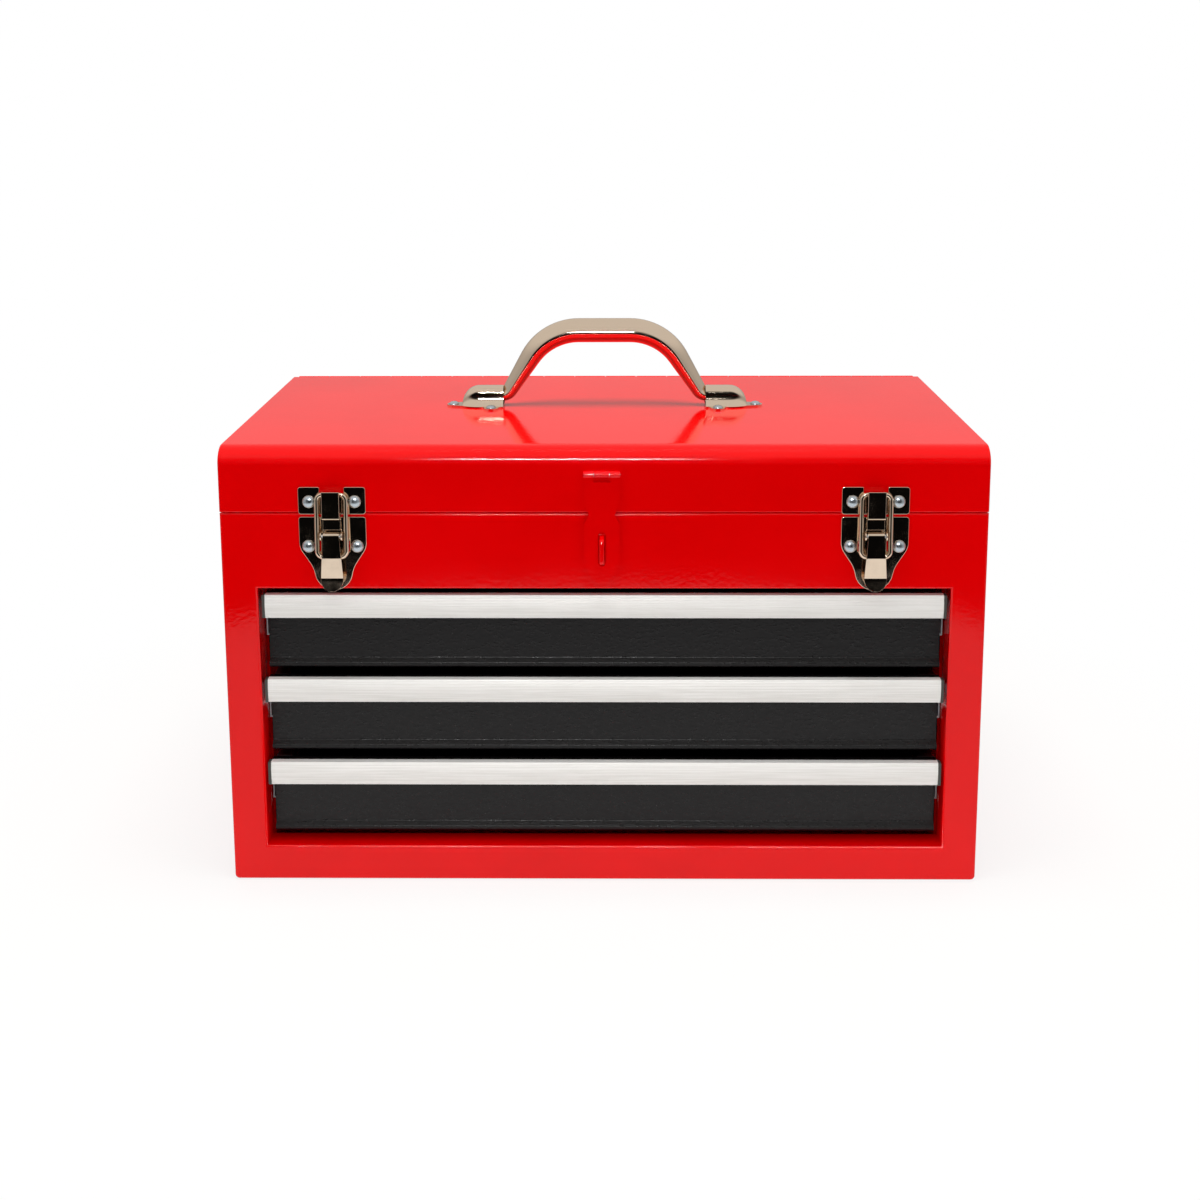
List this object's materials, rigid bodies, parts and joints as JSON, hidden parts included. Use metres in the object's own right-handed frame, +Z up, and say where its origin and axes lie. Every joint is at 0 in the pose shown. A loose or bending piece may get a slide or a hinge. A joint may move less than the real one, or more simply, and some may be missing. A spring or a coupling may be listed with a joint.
{
  "type": "portable tool box with drawers",
  "caption": "Portable steel tool box: black drawers with pull strips on ball slides under a lift-up lid and tray, draw latches, padlock hasp, fold-down carrying handle.",
  "frame": {"origin": "centre of the bottom face, which stands on the bench", "axes": "+X to the right along the width, -Y towards the front with the drawers, +Z up"},
  "size_m": [0.508, 0.263, 0.3696],
  "materials": {
    "red_paint": "gloss powder coat with fine orange peel",
    "black_paint": "wrinkled black powder coat",
    "nickel_plate": "polished nickel plate",
    "zinc_plate": "bright zinc plate",
    "pin_steel": "bright steel",
    "slide_steel": "zinc-plated strip",
    "ball_steel": "polished",
    "aluminium_strip": "finely ribbed satin anodised extrusion",
    "cap_plastic": "moulded matt grey"
  },
  "bodies": {
    "case": {"case_shell": "red_paint", "back_panel": "red_paint", "tray_floor": "red_paint", "slide_posts": "red_paint", "hinge_case_leaf": "red_paint", "hinge_pin": "pin_steel", "latch_plate_left": "nickel_plate", "latch_plate_right": "nickel_plate", "lever_pin_left": "pin_steel", "lever_pin_right": "pin_steel", "latch_plate_rivets": "zinc_plate", "hasp_staple": "red_paint", "slide_outer_1": "slide_steel", "slide_outer_2": "slide_steel", "slide_outer_3": "slide_steel"},
    "lid": {"lid_shell": "red_paint", "hinge_lid_leaf": "red_paint", "latch_keeper_left": "nickel_plate", "latch_keeper_right": "nickel_plate", "keeper_rivets": "zinc_plate", "hasp_leaf": "red_paint", "hasp_pin": "pin_steel", "handle_bracket_left": "nickel_plate", "handle_bracket_right": "nickel_plate", "bracket_screws": "zinc_plate", "bracket_nuts": "zinc_plate"},
    "handle": {"handle": "nickel_plate"},
    "hasp_strap": {"hasp_strap": "red_paint"},
    "lever_left": {"latch_lever_left": "nickel_plate"},
    "lever_right": {"latch_lever_right": "nickel_plate"},
    "bail_left": {"latch_bail_left": "nickel_plate"},
    "bail_right": {"latch_bail_right": "nickel_plate"},
    "drawer_1": {"drawer_tray_1": "black_paint", "drawer_front_1": "black_paint", "drawer_pull_1": "aluminium_strip", "pull_caps_1": "cap_plastic", "slide_inner_1": "slide_steel"},
    "ball_cage_1": {"slide_cage_1": "slide_steel", "slide_balls_1": "ball_steel"},
    "drawer_2": {"drawer_tray_2": "black_paint", "drawer_front_2": "black_paint", "drawer_pull_2": "aluminium_strip", "pull_caps_2": "cap_plastic", "slide_inner_2": "slide_steel"},
    "ball_cage_2": {"slide_cage_2": "slide_steel", "slide_balls_2": "ball_steel"},
    "drawer_3": {"drawer_tray_3": "black_paint", "drawer_front_3": "black_paint", "drawer_pull_3": "aluminium_strip", "pull_caps_3": "cap_plastic", "slide_inner_3": "slide_steel"},
    "ball_cage_3": {"slide_cage_3": "slide_steel", "slide_balls_3": "ball_steel"}
  },
  "joints": [
    {"name": "lid_hinge", "type": "hinge", "parent": "case", "child": "lid", "pos_m": [0, 0.122, 0.3013], "axis": [-1, 0, 0], "range_deg": [0, 100]},
    {"name": "handle_swing", "type": "hinge", "parent": "lid", "child": "handle", "pos_m": [0, 0.008, 0.3126], "axis": [1, 0, 0], "range_deg": [-84, 84]},
    {"name": "hasp_hinge", "type": "hinge", "parent": "lid", "child": "hasp_strap", "pos_m": [-0.001, -0.1279, 0.287], "axis": [-1, 0, 0], "range_deg": [0, 150]},
    {"name": "latch_lever_left", "type": "hinge", "parent": "case", "child": "lever_left", "pos_m": [-0.179, -0.1303, 0.2458], "axis": [-1, 0, 0], "range_deg": [0, 60]},
    {"name": "latch_bail_left", "type": "hinge", "parent": "lever_left", "child": "bail_left", "pos_m": [-0.179, -0.1303, 0.2318], "axis": [-1, 0, 0], "range_deg": [-43, 0]},
    {"name": "latch_lever_right", "type": "hinge", "parent": "case", "child": "lever_right", "pos_m": [0.179, -0.1303, 0.2458], "axis": [-1, 0, 0], "range_deg": [0, 60]},
    {"name": "latch_bail_right", "type": "hinge", "parent": "lever_right", "child": "bail_right", "pos_m": [0.179, -0.1303, 0.2318], "axis": [-1, 0, 0], "range_deg": [-43, 0]},
    {"name": "drawer_slide_1", "type": "slide", "parent": "case", "child": "drawer_1", "axis": [0, -1, 0], "range_m": [0, 0.15]},
    {"name": "ball_cage_slide_1", "type": "slide", "parent": "case", "child": "ball_cage_1", "axis": [0, -1, 0], "range_m": [0, 0.075]},
    {"name": "drawer_slide_2", "type": "slide", "parent": "case", "child": "drawer_2", "axis": [0, -1, 0], "range_m": [0, 0.15]},
    {"name": "ball_cage_slide_2", "type": "slide", "parent": "case", "child": "ball_cage_2", "axis": [0, -1, 0], "range_m": [0, 0.075]},
    {"name": "drawer_slide_3", "type": "slide", "parent": "case", "child": "drawer_3", "axis": [0, -1, 0], "range_m": [0, 0.15]},
    {"name": "ball_cage_slide_3", "type": "slide", "parent": "case", "child": "ball_cage_3", "axis": [0, -1, 0], "range_m": [0, 0.075]}
  ],
  "couplings": [
    {"joint": "latch_bail_left", "follows": "latch_lever_left", "ratio": -0.716},
    {"joint": "latch_bail_right", "follows": "latch_lever_right", "ratio": -0.716},
    {"joint": "ball_cage_slide_1", "follows": "drawer_slide_1", "ratio": 0.5},
    {"joint": "ball_cage_slide_2", "follows": "drawer_slide_2", "ratio": 0.5},
    {"joint": "ball_cage_slide_3", "follows": "drawer_slide_3", "ratio": 0.5}
  ]
}
